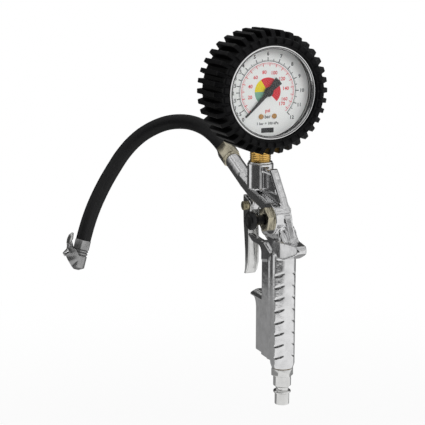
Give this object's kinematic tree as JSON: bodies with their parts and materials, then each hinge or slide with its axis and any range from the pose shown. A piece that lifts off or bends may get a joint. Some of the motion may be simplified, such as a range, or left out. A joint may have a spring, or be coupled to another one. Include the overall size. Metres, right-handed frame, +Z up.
{
  "type": "portable tire inflator",
  "caption": "Cast pistol-grip tyre inflator with a lever trigger, bleed button, booted dial gauge, short hose and clip-on chuck.",
  "frame": {"origin": "centre of the quick-connect plug's tip, on the handle's axis, the lowest point of the gun", "axes": "+Z up along the handle towards the gauge, +Y forward from the palm to the fingers and the hose, +X to the tool's right; the dial looks along -Y"},
  "size_m": [0.1496, 0.1985, 0.2488],
  "materials": {
    "cast_alloy": "polished die casting with soft edges and faint tumbling marks",
    "plated_steel": "nickel plated steel, bright with a soft satin",
    "polished_steel": "rolled stainless ring, mirror polished",
    "spring_steel": "bare spring steel",
    "nickel_brass": "nickel plated brass with a warm beige tone",
    "bronze_plate": "olive passivated steel pin head",
    "brass": "turned brass with fine tool marks",
    "bonded_washer": "thin bonded sealing washer",
    "seal_rubber": "soft black nitrile seal",
    "black_plastic": "moulded black plastic with a faint sheen",
    "black_enamel": "black painted steel",
    "white_dial": "white painted dial with printed scales",
    "clear_lens": "clear plastic window",
    "boot_rubber": "black moulded rubber, satin with a fine grain",
    "hose_rubber": "black smooth rubber hose, satin",
    "cast_zinc": "grey plated zinc casting"
  },
  "bodies": {
    "frame": {"gun_body": "cast_alloy", "inlet_plug": "plated_steel", "inlet_washer": "bonded_washer", "trigger_pin": "bronze_plate", "pin_clip": "spring_steel", "valve_seat": "brass", "valve_spring": "spring_steel", "valve_cap": "nickel_brass", "stem_seal": "seal_rubber", "bleed_nut": "nickel_brass", "bleed_spring": "spring_steel", "gauge_washer": "plated_steel", "gauge_socket": "brass", "gauge_case": "plated_steel", "bezel_ring": "polished_steel", "gauge_lens": "clear_lens", "lens_gasket": "seal_rubber", "dial_plate": "white_dial", "dial_screws": "brass", "movement_frame": "brass", "hairspring": "spring_steel", "bourdon_tube": "brass", "rubber_boot": "boot_rubber", "hose_nut": "nickel_brass", "hose_barb": "brass", "hose": "hose_rubber", "chuck_nut": "cast_zinc", "chuck_body": "cast_zinc", "chuck_seal": "seal_rubber", "core_pin": "brass", "clip_pin": "spring_steel", "clip_spring": "spring_steel"},
    "trigger": {"trigger_lever": "plated_steel"},
    "valve": {"valve_stem": "plated_steel", "valve_disc": "seal_rubber"},
    "bleed": {"bleed_stem": "plated_steel", "bleed_seal": "seal_rubber", "bleed_button": "black_plastic"},
    "sector": {"sector_gear": "brass"},
    "pointer": {"gauge_pointer": "black_enamel", "pointer_arbor": "brass"},
    "link": {"tube_link": "brass"},
    "clip": {"clip_lever": "plated_steel"}
  },
  "joints": [
    {"name": "trigger_pull", "type": "hinge", "parent": "frame", "child": "trigger", "pos_m": [0, 0.0482, 0.1274], "axis": [-1, 0, 0], "range_deg": [0, 14], "stiffness_Nm_per_rad": 0.4, "springref_deg": -11.46},
    {"name": "valve_push", "type": "slide", "parent": "frame", "child": "valve", "axis": [0, -1, 0], "range_m": [0, 0.00262], "deforming": ["valve_spring"]},
    {"name": "bleed_press", "type": "slide", "parent": "frame", "child": "bleed", "axis": [1, 0, 0], "range_m": [0, 0.0025], "stiffness_N_per_m": 1200, "springref_m": -0.002, "deforming": ["bleed_spring"]},
    {"name": "sector_turn", "type": "hinge", "parent": "frame", "child": "sector", "pos_m": [0, 0.0327, 0.19174], "axis": [0, -1, 0], "range_deg": [0, 33.75], "stiffness_Nm_per_rad": 0.0005, "springref_deg": -2.86},
    {"name": "pointer_turn", "type": "hinge", "parent": "frame", "child": "pointer", "pos_m": [0, 0.0327, 0.2075], "axis": [0, 1, 0], "range_deg": [0, 270]},
    {"name": "link_turn", "type": "hinge", "parent": "sector", "child": "link", "pos_m": [-0.00709, 0.0327, 0.19421], "axis": [0, -1, 0], "range_deg": [-33.75, 0]},
    {"name": "clip_squeeze", "type": "hinge", "parent": "frame", "child": "clip", "pos_m": [-0.10208, 0.15005, 0.08616], "axis": [0.3693, 0.907, -0.2023], "range_deg": [0, 12], "stiffness_Nm_per_rad": 0.2, "springref_deg": -8.59}
  ],
  "couplings": [
    {"joint": "valve_push", "follows": "trigger_pull", "m_per_rad": 0.0107},
    {"joint": "pointer_turn", "follows": "sector_turn", "ratio": 8},
    {"joint": "link_turn", "follows": "sector_turn", "ratio": -1}
  ]
}
